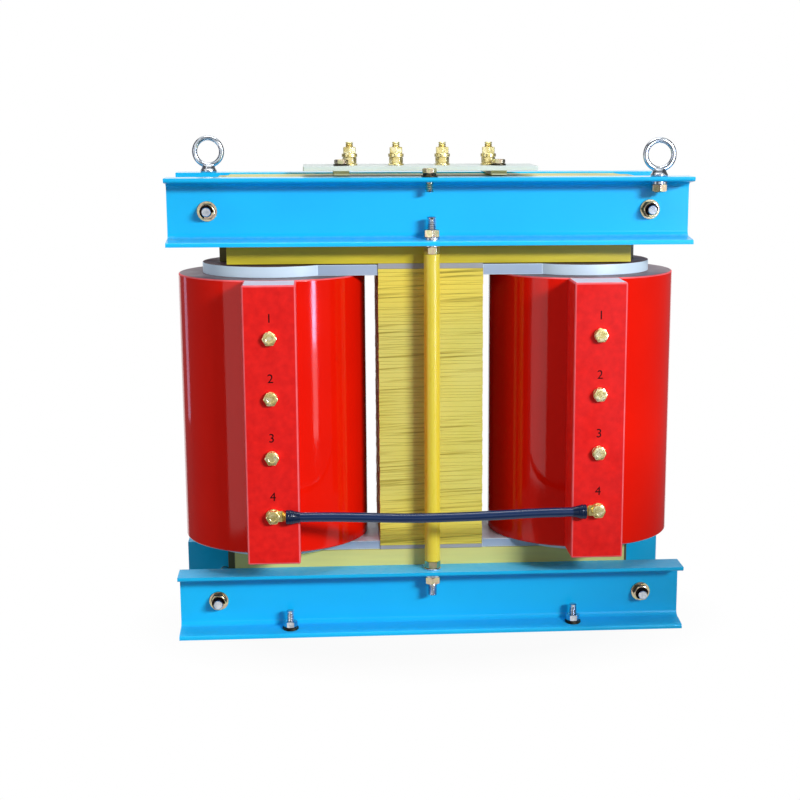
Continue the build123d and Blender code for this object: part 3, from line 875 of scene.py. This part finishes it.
for name in ("bottom_yoke", "top_yoke"):
    low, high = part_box(name)
    thickness = (high.y - low.y) / yoke_packets
    packets = []
    for i in range(yoke_packets):
        front = low.y + i * thickness
        inset = 0 if abs(front + thickness / 2 - core_y) < step_half else yoke_step
        shift = chance.uniform(-1, 1) * yoke_shift
        drop = chance.uniform(0, 1) * yoke_shift
        packets.append(
            block(
                (low.x + inset + shift, front + packet_gap / 2, low.z),
                (high.x - inset + shift, front + thickness - packet_gap / 2, high.z - drop),
            )
        )
    yoke = join(packets)
    soften(yoke, width=0.5 * MM)
    coat(yoke, core_paint)
    hand_over(yoke, name.replace("yoke", "packets"), "yoke_paint", name)

# %% Pads in the joints of the limb
pads = []
pads_low, pads_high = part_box("gap_pads")
pads.append(block(pads_low, (pads_high.x, pads_high.y, limb_low.z)))
pads.append(block((pads_low.x, pads_low.y, limb_high.z), pads_high))
pad = join(pads)
soften(pad, width=0.6 * MM)
coat(pad, grey_board)
hand_over(pad, "joint_pads", "gap_pad", "gap_pads")

# %% [markdown]
# ## Coils
# Each coil is cast in a round mould with a square pocket for the taps, and left with a small radius on
# both rims. A boolean union of a fine cylinder and a bevelled block gives the sharp meeting line that
# the real casting has. The bore is cut last. Five finishes go on by place, each over the one before:
# glossy all over, rubbed on the pillar, machined on the flat ends in a brown that is painted shade, pale
# grey on the ends of the pillar, and a paler red as painted highlight on the pillar's edges and the upper
# rim.

# %% Cast coil
coil_low, coil_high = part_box("right_hv_coil")
coil_x = box_middle("right_hv_coil", "x")
coil_radius = (coil_high.x - coil_low.x) / 2
winding_low, winding_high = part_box("right_lv_winding")
winding_duct = 7.4 * MM
coil_bore = (winding_high.x - winding_low.x) / 2 + winding_duct
pillar_half = 39 * MM
pillar_front = coil_low.y - core_y
pillar_trim = 0.4 * MM
pillar_back = -coil_radius * 0.88
pillar_edge = 2.5 * MM
rim_radius = 3 * MM
cut_past = 9 * MM


def reaches_front(edge):
    """Is an edge on the front of the pillar, or does it run back from there?"""
    first, second = (v.co.y for v in edge.verts)
    return max(first, second) < pillar_front + CLOSE or not near(first, second)


def flat_end(face):
    """Does a face look straight up or down?"""
    return abs(face.normal.z) > 0.9


def on_pillar(face):
    """Is a face outside the round of the coil, in front?"""
    spot = middle(face)
    return spot.y < 0 and abs(spot.x) < pillar_half + CLOSE and spot.xy.length > coil_radius + 0.02 * MM


# Painted highlight: these faces get a paler red.
def worn(face):
    """Is a face on the upper rim, or on a rounded edge of the pillar?"""
    slanting = max(abs(v) for v in face.normal) < 0.985
    return 0.45 < face.normal.z < 0.9 or (slanting and on_pillar(face))


coil = round_bar(coil_radius, coil_low.z, coil_high.z, sides=192)
with editing(coil):
    pick(coil, "FACE", flat_end)
    bpy.ops.mesh.region_to_loop()
    bpy.ops.mesh.bevel(offset=rim_radius, segments=5, affect="EDGES")
pillar = block(
    (-pillar_half, pillar_front, coil_low.z + pillar_trim),
    (pillar_half, pillar_back, coil_high.z - pillar_trim),
)
with editing(pillar):
    pick(pillar, "EDGE", reaches_front)
    bpy.ops.mesh.bevel(offset=pillar_edge, segments=4, affect="EDGES")
combine(coil, pillar, "UNION")
bore = round_bar(coil_bore, coil_low.z - cut_past, coil_high.z + cut_past, sides=128)
combine(coil, bore, "DIFFERENCE")

# %% Finishes of the coil by place
skins = [
    (red_resin, lambda f: True),
    (rubbed_resin, on_pillar),
    # Painted shade: brown and grey on the coil's flat ends.
    (end_shade_resin, flat_end),
    (pillar_end_resin, lambda f: flat_end(f) and on_pillar(f)),
    # Painted highlight: paler red on the pillar's edges and the upper rim.
    (edge_highlight_resin, worn),
]
for material, _ in skins:
    coil.data.materials.append(material)
with editing(coil):
    for slot, (_, test) in enumerate(skins):
        touch_up(coil, slot, test)

for name, side in SIDES.items():
    casting = copy_to(coil, (side * coil_x, core_y, 0))
    hand_over(casting, f"{name}_casting", "coil_resin", f"{name}_hv_coil", angle=25)
bpy.data.objects.remove(coil)

# %% [markdown]
# ## End blocks
# The coils stand on moulded blocks and are held down by others: a disc with a tongue that reaches to the
# centre limb, pierced by the cross of the wound limb. Disc and tongue are joined, the cross is cut, and a
# bevel rounds the moulded edges. The fronts and backs of the tongues are painted greyer, as painted shade,
# and the tops of the upper blocks brown, as painted shade under the yoke.

# %% Moulded end blocks
cross_long = 66 * MM
cross_short = 47 * MM
tongue_half = 80 * MM

for name, side in SIDES.items():
    for level in ("lower", "upper"):
        low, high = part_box(f"{name}_{level}_block")
        radius = (high.y - low.y) / 2
        moulding = round_bar(radius, low.z, high.z, side * coil_x, core_y, sides=128)
        ends = sorted((side * limb_high.x, side * coil_x))
        tongue = block((ends[0], core_y - tongue_half, low.z), (ends[1], core_y + tongue_half, high.z))
        combine(moulding, tongue, "UNION")
        for x, y in ((cross_long, cross_short), (cross_short, cross_long)):
            hole_low = (side * coil_x - x, core_y - y, low.z - cut_past)
            hole_high = (side * coil_x + x, core_y + y, high.z + cut_past)
            combine(moulding, block(hole_low, hole_high), "DIFFERENCE")
        with editing(moulding):
            bpy.ops.mesh.select_all(action="SELECT")
            bpy.ops.mesh.remove_doubles(threshold=CLOSE)
        soften(moulding, width=1.0 * MM)
        coat(moulding, moulded_white)
        moulding.data.materials.append(painted_shade_white)
        moulding.data.materials.append(block_top_shade)
        with editing(moulding):
            # Painted shade: the tongues' fronts and backs get the greyer white.
            touch_up(moulding, 1, lambda f: near(abs(middle(f).y - core_y), tongue_half))
            # Painted shade: the tops of the upper blocks get a brown.
            touch_up(moulding, 2, lambda f: level == "upper" and f.normal.z > 0.9)
        hand_over(moulding, f"{name}_{level}_moulding", "end_block", f"{name}_{level}_block")

# %% [markdown]
# ## Fasteners
# Nuts and bolt heads are hexagons with a conical chamfer, which gives each flat its curved top. A
# hexagonal prism intersected with a turned cone makes it as the lathe does, with a dish in a head and a
# countersink in a nut. Threads are drawn as rings, coarser than they are, or they would not show. A true
# helix would not look different at this size. Each kind of fastener is put together once, upright at the
# origin, and copied to its places.

# %% Nuts, washers and threads
def hexagon(flats, height, turn=0.0, base=0.0, bore=0.0):
    """A nut, or a bolt head if it has no bore, with chamfered corners, standing on a level."""
    bpy.ops.object.select_all(action="DESELECT")
    corner = flats / 2 / cos(pi / 6)
    bpy.ops.mesh.primitive_cylinder_add(
        vertices=6, radius=corner, depth=height, location=(0, 0, base + height / 2), rotation=(0, 0, turn)
    )
    prism = settle()
    face_share = 0.94
    corner_share = 0.975
    face = flats / 2 * face_share
    reach = corner * corner_share
    drop = (reach - face) * tan(radians(30))
    shape = [(face, 0), (reach, drop), (reach, height - drop), (face, height)]
    if bore:
        sink = 1.0 * MM
        edge = [(bore + sink, height), (bore - sink / 2, height - 1.5 * sink)]
        edge += [(bore - sink / 2, 1.5 * sink), (bore + sink, 0), (face, 0)]
    else:
        dish = 0.5 * MM
        edge = [(0.60 * face, height), (0.52 * face, height - dish), (0, height - dish)]
        shape.insert(0, (0, 0))
    cone = turned([(r, base + z) for r, z in shape + edge])
    combine(prism, cone, "INTERSECT")
    soften(prism, width=0.25 * MM, segments=1, angle=40)
    return prism


def darken(piece, test):
    """Paint shade, as a near-black metal, on the faces that pass a test."""
    piece.data.materials.append(painted_shade_metal)
    with editing(piece):
        touch_up(piece, 1, test)


def washer(radius, thickness, base=0.0, bore=0.0):
    """A ring with softly broken edges."""
    edge = 0.35 * MM
    top = base + thickness
    shape = [(bore, base), (radius - edge, base), (radius, base + edge)]
    shape += [(radius, top - edge), (radius - edge, top), (bore, top)]
    if bore:
        shape.append((bore, base))
    return turned(shape)


def stud(radius, low, high, threads, pitch=2.6 * MM):
    """A round bar with chamfered ends, and with threads between pairs of levels."""
    depth = 0.9 * MM
    end = 0.9 * MM
    shape = [(0, low), (radius - end, low), (radius, low + end)]
    for start, stop in threads:
        first, last = max(start, low + end), min(stop, high - end)
        for i in range(int((last - first) / pitch)):
            base = first + i * pitch
            shape += [(radius, base), (radius - depth, base + pitch / 2)]
    shape += [(radius, high - end), (radius - end, high), (0, high)]
    shape = [shape[0]] + [b for a, b in zip(shape, shape[1:]) if a != b]
    return turned(shape, 32)


taper_thin = 1.5 * MM
taper_level = flange_thickness(gauge_line - taper_radius) + taper_thin


def taper_washer(way):
    """A round washer whose lower side follows the slope of a flange that lies at zero."""
    piece = round_bar(taper_radius, 0, taper_level)
    seat = (0, 0, flange_thickness(gauge_line))
    slope = Vector((0, -way * flange_taper, -1)).normalized()
    with editing(piece):
        bpy.ops.mesh.select_all(action="SELECT")
        bpy.ops.mesh.bisect(plane_co=seat, plane_no=slope, use_fill=True, clear_outer=True)
    soften(piece, width=0.3 * MM, segments=1)
    return piece


print("taper washers are level at", round(taper_level / MM, 2), "mm above the flange's flat side")

# %% Clamp bolts
m14_nut = 11.5 * MM
m14_flats = 22 * MM
clamp_washer = 3 * MM
clamp_radius = 15 * MM
stack_half = 82 * MM
thread_hidden = 2 * MM
bore_margin = 0.4 * MM
bright_end = 1.2 * MM
grip = stack_half + channel_web
nut_base = grip + clamp_washer
stud_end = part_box("upper_left_clamp_bolt")[1].y - core_y

clamp_nut = coat(hexagon(m14_flats, m14_nut, pi / 6, nut_base, m14), yellow_zinc)
# Painted shade: the nut's flanks and countersink are a near-black metal.
darken(clamp_nut, lambda f: middle(f).xy.length < m14 + bore_margin or abs(f.normal.z) < 0.3)
end_pieces = [coat(washer(clamp_radius, clamp_washer, grip), yellow_zinc), clamp_nut]
end_pieces += [copy_to(piece, turn=(pi, 0, 0)) for piece in end_pieces]
thread_start = nut_base + m14_nut - thread_hidden
thread = [(-stud_end, -thread_start), (thread_start, stud_end)]
rod = coat(stud(m14, -stud_end, stud_end, thread), bright_zinc)
# Painted shade: the thread past the nut is a near-black metal.
darken(rod, lambda f: nut_base < abs(middle(f).z) < stud_end - bright_end)
clamp = join([rod, *end_pieces])

for level in ("upper", "lower"):
    for name, side in SIDES.items():
        node_name = f"{level}_{name}_clamp_bolt"
        spot = (side * clamp_x, core_y, box_middle(node_name, "z"))
        placed = copy_to(clamp, spot, (pi / 2, 0, 0))
        hand_over(placed, f"{level}_{name}_clamp", "plated_steel", node_name)
bpy.data.objects.remove(clamp)

# %% Tie rods and their sleeves
plain_washer = 2.5 * MM
m14_washer = 13 * MM
rod_low, rod_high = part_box("front_tie_rod")
half_rod = (rod_high.z - rod_low.z) / 2
rod_middle = box_middle("front_tie_rod", "z")
flange_level = rail_low.z - rod_middle
lower_nut = flange_level - plain_washer - m14_nut
upper_nut = flange_level + taper_level

for name, way in FACES.items():
    end_pieces = [
        coat(washer(m14_washer, plain_washer, flange_level - plain_washer), bright_zinc),
        coat(hexagon(m14_flats, m14_nut, pi / 6, lower_nut, m14), yellow_zinc),
        coat(hexagon(m14_flats, m14_nut, 0, upper_nut, m14), yellow_zinc),
        coat(put(taper_washer(way), (0, 0, flange_level)), bright_zinc),
    ]
    end_pieces += [copy_to(piece, turn=(0, pi, 0)) for piece in end_pieces]
    start = upper_nut + m14_nut - thread_hidden
    thread = [(-half_rod, -start), (start, half_rod)]
    bar = coat(stud(m14, -half_rod, half_rod, thread), bright_zinc)
    rod = put(join([bar, *end_pieces]), (0, core_y + way * gauge, rod_middle))
    hand_over(rod, f"{name}_rod", "plated_steel", f"{name}_tie_rod")
    low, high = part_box(f"{name}_rod_sleeve")
    tube = washer((high.x - low.x) / 2, high.z - low.z, low.z, m14 + clearance)
    put(coat(tube, yellow_tube), (0, core_y + way * gauge, 0))
    hand_over(tube, f"{name}_sleeve", "sleeve", f"{name}_rod_sleeve")

# %% Foot bolts
m12_nut = 10 * MM
m12_flats = 19 * MM

for name, way in FACES.items():
    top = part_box(f"{name}_foot_bolts")[1].z
    pieces = [
        coat(stud(m12, 0, top, [(taper_level + m12_nut - thread_hidden, top)]), bright_zinc),
        coat(taper_washer(way), black_oxide),
        coat(hexagon(m12_flats, m12_nut, pi / 6, taper_level, m12), bright_zinc),
    ]
    foot = join(pieces)
    pair = [copy_to(foot, (side * foot_x, core_y + way * gauge, 0)) for side in SIDES.values()]
    bpy.data.objects.remove(foot)
    hand_over(join(pair), f"{name}_feet", "plated_steel", f"{name}_foot_bolts")

# %% [markdown]
# ### Lifting eyes
# An eye bolt is one forging, so the ring flows into its collar without a seam. A ring and a turned collar
# joined by a boolean would meet in a hard line. A voxel remesh over both, smoothed a little, melts that line
# into the soft fillet of a forging.

# %% Lifting eyes
ring_radius = 21.3 * MM
wire_radius = 4.2 * MM
ring_centre = 32.2 * MM
collar_shape = [(0, 0), (12.6, 0), (13, 0.4), (13, 3.1), (12.6, 3.5)]
collar_shape += [(11.2, 5.5), (10, 8.5), (8.5, 11), (0, 11)]
eye_faces = {"left": "back", "right": "front"}

bpy.ops.object.select_all(action="DESELECT")
bpy.ops.mesh.primitive_torus_add(
    major_segments=96,
    minor_segments=32,
    major_radius=ring_radius,
    minor_radius=wire_radius,
    location=(0, 0, ring_centre),
    rotation=(pi / 2, 0, 0),
)
eye = settle()
combine(eye, turned([(r * MM, z * MM) for r, z in collar_shape], 64), "UNION")
modify(eye, "REMESH", mode="VOXEL", voxel_size=0.6 * MM)
modify(eye, "SMOOTH", factor=0.5, iterations=6)
coat(eye, bright_zinc)

for name, face in eye_faces.items():
    way = FACES[face]
    shank_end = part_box(f"{name}_eye_bolt")[0].z - rail_high.z
    spot = (box_middle(f"{name}_eye_bolt", "x"), core_y + way * gauge, rail_high.z)
    under = [
        coat(stud(m14, shank_end, 0, []), bright_zinc),
        coat(put(taper_washer(way), turn=(0, pi, 0)), bright_zinc),
        coat(put(hexagon(m14_flats, m14_nut, 0, taper_level, m14), turn=(0, pi, 0)), yellow_zinc),
    ]
    bolt = put(join([copy_to(eye), *under]), spot)
    hand_over(bolt, f"{name}_lifting_eye", "plated_steel", f"{name}_eye_bolt")
bpy.data.objects.remove(eye)

# %% Earth bolt with its split spring washer
m12_head = 7.5 * MM
m12_washer = 12 * MM
spring_radius = 10 * MM
spring_thickness = 3 * MM
spring_play = 0.3 * MM
slit_half = 0.6 * MM
slit_turn = (radians(25), 0, -pi / 3)

shank_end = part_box("earth_bolt")[0].z - rail_high.z
split = washer(spring_radius, spring_thickness, plain_washer, m12 + spring_play)
slit = block((5 * MM, -slit_half, 0), (12 * MM, slit_half, 9 * MM))
combine(split, put(slit, turn=slit_turn), "DIFFERENCE")
pieces = [
    coat(stud(m12, shank_end, 0, [(shank_end, -toe)]), yellow_zinc),
    coat(washer(m12_washer, plain_washer), black_oxide),
    coat(split, black_oxide),
    coat(hexagon(m12_flats, m12_head, pi / 6, plain_washer + spring_thickness), yellow_zinc),
]
earth = put(join(pieces), (earth_x, core_y - gauge, rail_high.z))
hand_over(earth, "earthing_bolt", "plated_steel", "earth_bolt")

# %% [markdown]
# ## Terminal board
# The low-voltage ends come up through a sheet of epoxy glass on two flat straps, as four brass studs with
# a pair of nuts each. The sheet is sawn, so its edges are only just broken, with a small radius at the
# four corners.

# %% Board and straps
board_low, board_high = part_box("terminal_board")
board_corner = 3 * MM
sheet = block(board_low, board_high)
with editing(sheet):
    pick(sheet, "EDGE", lambda e: not near(e.verts[0].co.z, e.verts[1].co.z))
    bpy.ops.mesh.bevel(offset=board_corner, segments=4, affect="EDGES")
soften(sheet, width=0.5 * MM)
coat(sheet, glass_board)
hand_over(sheet, "terminal_sheet", "board", "terminal_board")

strap_low, strap_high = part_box("board_straps")
strap_width = 24 * MM
straps = [
    block(strap_low, (strap_low.x + strap_width, strap_high.y, strap_high.z)),
    block((strap_high.x - strap_width, strap_low.y, strap_low.z), strap_high),
]
strap = join(straps)
soften(strap, width=0.8 * MM)
# Painted light: the shaded straps get a pale paint.
coat(strap, strap_painted_light)
hand_over(strap, "flat_straps", "yoke_paint", "board_straps")

# %% Bolts of the board
thin_head = 7 * MM
low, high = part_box("board_bolts")
shank = board_high.z - low.z
pieces = [
    coat(washer(m12_washer, plain_washer), black_oxide),
    coat(hexagon(m12_flats, thin_head, pi / 6, plain_washer), yellow_zinc),
    coat(stud(m12, -shank, 0, []), black_oxide),
]
bolt = join(pieces)
spots = (low.x + m12_washer, high.x - m12_washer)
pair = [copy_to(bolt, (x, box_middle("board_bolts", "y"), board_high.z)) for x in spots]
bpy.data.objects.remove(bolt)
hand_over(join(pair), "sheet_bolts", "black_steel", "board_bolts")

# %% Low-voltage studs
stud_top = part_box("lv_stud_1")[1].z - board_high.z
nut_level = 3 * plain_washer + m12_nut
pieces = [
    stud(m12, board_low.z - board_high.z, stud_top, [(nut_level + m12_nut - thread_hidden, stud_top)]),
    washer(m12_washer, plain_washer),
    hexagon(m12_flats, m12_nut, pi / 6, plain_washer, m12),
    washer(m12_washer, plain_washer, plain_washer + m12_nut),
    washer(m12_washer, plain_washer, 2 * plain_washer + m12_nut),
    hexagon(m12_flats, m12_nut, 0, nut_level, m12),
]
terminal = coat(join(pieces), brass)
for number in range(1, 5):
    node_name = f"lv_stud_{number}"
    spot = (box_middle(node_name, "x"), box_middle(node_name, "y"), board_high.z)
    hand_over(copy_to(terminal, spot), f"terminal_{number}", "brass", node_name)
bpy.data.objects.remove(terminal)

# %% [markdown]
# ## Taps and the ends of the jumper
# Four brass bolts stand on each pillar. The lowest one clamps the lug of the jumper, and heat-shrink tube
# covers the crimp: it is drawn tight, so it shows where the barrel ends and a few rings of wrinkles. It
# could be sculpted. Turning a wavy profile and pressing it flat, as the crimp is, gives the same with a few
# numbers. The number of each tap is stamped above its bolt.

# %% Tap bolts
tap_washer = 2 * MM
tap_radius = 10 * MM
tap_shank = 11 * MM
lug_thickness = 3 * MM
tap_pitch = 88 * MM
tap_levels = [box_middle("right_tap_bolts", "z") + (i - 1.5) * tap_pitch for i in range(4)]
tap_seat = coil_low.y

bolt = join(
    [
        stud(m12, -tap_shank, 0, []),
        washer(tap_radius, tap_washer),
        hexagon(m12_flats, m12_head, pi / 6, tap_washer),
    ]
)
coat(bolt, brass)
for name, side in SIDES.items():
    column = []
    for i, z in enumerate(tap_levels):
        seat = tap_seat - (0 if i else lug_thickness)
        column.append(copy_to(bolt, (side * coil_x, seat, z), (pi / 2, 0, 0)))
    hand_over(join(column), f"{name}_taps", "brass", f"{name}_tap_bolts")
bpy.data.objects.remove(bolt)

# %% Heat-shrink boots
boot_wrinkles = [(0.0, 1.12), (0.04, 1.2), (0.16, 1.22), (0.22, 1.15), (0.28, 1.22)]
boot_wrinkles += [(0.38, 1.2), (0.44, 1.12), (0.5, 1.14), (0.6, 1.03), (0.66, 1.02)]
boot_wrinkles += [(0.76, 0.94), (0.9, 0.9), (1.0, 0.87)]
crimp_flat = 0.82
barrel_start = 18.5 * MM
low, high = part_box("right_jumper_boot")
boot_length = high.x - low.x
boot_radius = (high.z - low.z) / 2
shape = [(0, 0)] + [(boot_radius * r, boot_length * t) for t, r in boot_wrinkles] + [(0, boot_length)]
boot = coat(turned(shape), shrink_tube)
soften(boot, width=0.3 * MM, angle=20)
with editing(boot):
    bpy.ops.mesh.select_all(action="SELECT")
    bpy.ops.transform.resize(value=(1, crimp_flat, 1), center_override=(0, 0, 0))
for name, side in SIDES.items():
    start = side * (coil_x - barrel_start)
    piece = copy_to(boot, (start, cable_y, cable_z), (0, -side * pi / 2, 0))
    hand_over(piece, f"{name}_boot", "boot", f"{name}_jumper_boot")
bpy.data.objects.remove(boot)

# %% Tap numbers
number_height = 13 * MM
number_rise = 28.5 * MM
ink_thickness = 0.1 * MM
capital_share = 0.70

for name, side in SIDES.items():
    figures = []
    for i, z in enumerate(reversed(tap_levels), 1):
        bpy.ops.object.select_all(action="DESELECT")
        bpy.ops.object.text_add(location=(0, 0, 0))
        text = bpy.context.object
        text.data.body = str(i)
        text.data.size = number_height / capital_share
        text.data.extrude = ink_thickness / 2
        text.data.align_x, text.data.align_y = "CENTER", "CENTER"
        bpy.ops.object.convert(target="MESH")
        spot = (side * coil_x, tap_seat - ink_thickness / 2, z + number_rise)
        figures.append(put(bpy.context.object, spot, (pi / 2, 0, 0)))
    numbers = coat(join(figures), stamp_ink)
    with editing(numbers):
        bpy.ops.mesh.select_all(action="SELECT")
        bpy.ops.mesh.remove_doubles(threshold=0.001 * MM)
        bpy.ops.mesh.normals_make_consistent(inside=False)
    hand_over(numbers, f"{name}_tap_numbers", "black_steel")

# %% [markdown]
# ## The last finishes
# The lugs keep their CAD shape, which is already a smooth loft from flat sheet to round barrel, and so do
# the wound limbs and inner windings, which can be seen only through the gaps. They take their finishes here,
# and the cable gets its sheath and is attached to the body.

# %% Pieces that keep their CAD shape
for name in SIDES:
    for part, material in (("limb", dark_sheets), ("lv_winding", brown_varnish), ("jumper_lug", brass)):
        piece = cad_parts[f"{name}_{part}"]
        coat(piece, material)

cable_curve.materials.append(cable_sheath)
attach(cable, BODY)
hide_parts("jumper_cable")
print("lugs, limbs and windings finished")
